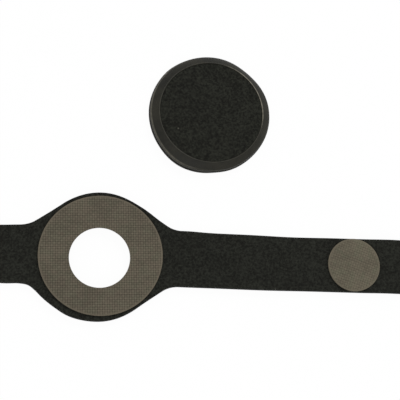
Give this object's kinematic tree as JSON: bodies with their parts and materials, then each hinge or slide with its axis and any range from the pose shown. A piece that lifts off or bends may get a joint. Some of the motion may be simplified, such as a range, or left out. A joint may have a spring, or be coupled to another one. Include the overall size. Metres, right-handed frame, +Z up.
{
  "type": "esd wrist strap",
  "caption": "Soft grounding wrist strap laid flat: a band with a round eye, grip ring and closure coin, and a loose round contact disc with a snap stud.",
  "frame": {"origin": "centre of the footprint of the band and the disc laid out side by side, on the surface that they lie on", "axes": "+X along the band towards the arm with the closure coin, +Y from the band towards the loose disc, +Z up, out of the side of the band that faces the wrist"},
  "size_m": [0.2348, 0.1024, 0.0054],
  "materials": {
    "knit_liner": "fine black conductive knit",
    "foam_core": "black closed-cell foam, cut edge",
    "loop_knit": "black brushed loop knit",
    "grip_weave": "taupe woven grip fabric",
    "adhesive_film": "pressure-sensitive film",
    "moulded_black": "semi-gloss brown-black moulding",
    "stud_steel": "plated steel"
  },
  "bodies": {
    "eye": {"band_back_eye": "loop_knit", "band_core_eye": "foam_core", "band_liner_eye": "knit_liner", "grip_ring": "grip_weave", "grip_ring_film": "adhesive_film"},
    "left_1": {"band_back_left_1": "loop_knit", "band_core_left_1": "foam_core", "band_liner_left_1": "knit_liner"},
    "left_2": {"band_back_left_2": "loop_knit", "band_core_left_2": "foam_core", "band_liner_left_2": "knit_liner"},
    "left_3": {"band_back_left_3": "loop_knit", "band_core_left_3": "foam_core", "band_liner_left_3": "knit_liner"},
    "left_4": {"band_back_left_4": "loop_knit", "band_core_left_4": "foam_core", "band_liner_left_4": "knit_liner"},
    "right_1": {"band_back_right_1": "loop_knit", "band_core_right_1": "foam_core", "band_liner_right_1": "knit_liner"},
    "right_2": {"band_back_right_2": "loop_knit", "band_core_right_2": "foam_core", "band_liner_right_2": "knit_liner"},
    "right_3": {"band_back_right_3": "loop_knit", "band_core_right_3": "foam_core", "band_liner_right_3": "knit_liner"},
    "right_4": {"band_back_right_4": "loop_knit", "band_core_right_4": "foam_core", "band_liner_right_4": "knit_liner", "closure_coin": "grip_weave", "closure_coin_film": "adhesive_film"},
    "disc": {"disc_foot_loop": "loop_knit", "disc_foot_film": "adhesive_film", "disc_base": "moulded_black", "disc_bezel": "moulded_black", "contact_plate": "stud_steel", "pad_foam": "foam_core", "pad_face": "knit_liner", "ground_stud": "stud_steel", "stud_rivet": "stud_steel"}
  },
  "joints": [
    {"name": "wrap_left", "type": "hinge", "parent": "eye", "child": "left_1", "pos_m": [-0.03136, -0.0279, 0.0026], "axis": [0, 1, 0], "range_deg": [0, 45]},
    {"name": "wrap_left_2", "type": "hinge", "parent": "left_1", "child": "left_2", "pos_m": [-0.04536, -0.0279, 0.0026], "axis": [0, 1, 0], "range_deg": [0, 45]},
    {"name": "wrap_left_3", "type": "hinge", "parent": "left_2", "child": "left_3", "pos_m": [-0.05936, -0.0279, 0.0026], "axis": [0, 1, 0], "range_deg": [0, 45]},
    {"name": "wrap_left_4", "type": "hinge", "parent": "left_3", "child": "left_4", "pos_m": [-0.07336, -0.0279, 0.0026], "axis": [0, 1, 0], "range_deg": [0, 45]},
    {"name": "wrap_right", "type": "hinge", "parent": "eye", "child": "right_1", "pos_m": [0.01664, -0.0279, 0.0026], "axis": [0, -1, 0], "range_deg": [0, 45]},
    {"name": "wrap_right_2", "type": "hinge", "parent": "right_1", "child": "right_2", "pos_m": [0.03221, -0.0279, 0.0026], "axis": [0, -1, 0], "range_deg": [0, 45]},
    {"name": "wrap_right_3", "type": "hinge", "parent": "right_2", "child": "right_3", "pos_m": [0.04779, -0.0279, 0.0026], "axis": [0, -1, 0], "range_deg": [0, 45]},
    {"name": "wrap_right_4", "type": "hinge", "parent": "right_3", "child": "right_4", "pos_m": [0.06336, -0.0279, 0.0026], "axis": [0, -1, 0], "range_deg": [0, 45]},
    {"name": "disc_lift", "type": "slide", "parent": "eye", "child": "disc", "axis": [0, 0, 1], "range_m": [0, 0.05]}
  ],
  "couplings": [
    {"joint": "wrap_left_2", "follows": "wrap_left", "ratio": 1},
    {"joint": "wrap_left_3", "follows": "wrap_left", "ratio": 1},
    {"joint": "wrap_left_4", "follows": "wrap_left", "ratio": 1},
    {"joint": "wrap_right_2", "follows": "wrap_right", "ratio": 1},
    {"joint": "wrap_right_3", "follows": "wrap_right", "ratio": 1},
    {"joint": "wrap_right_4", "follows": "wrap_right", "ratio": 1}
  ]
}
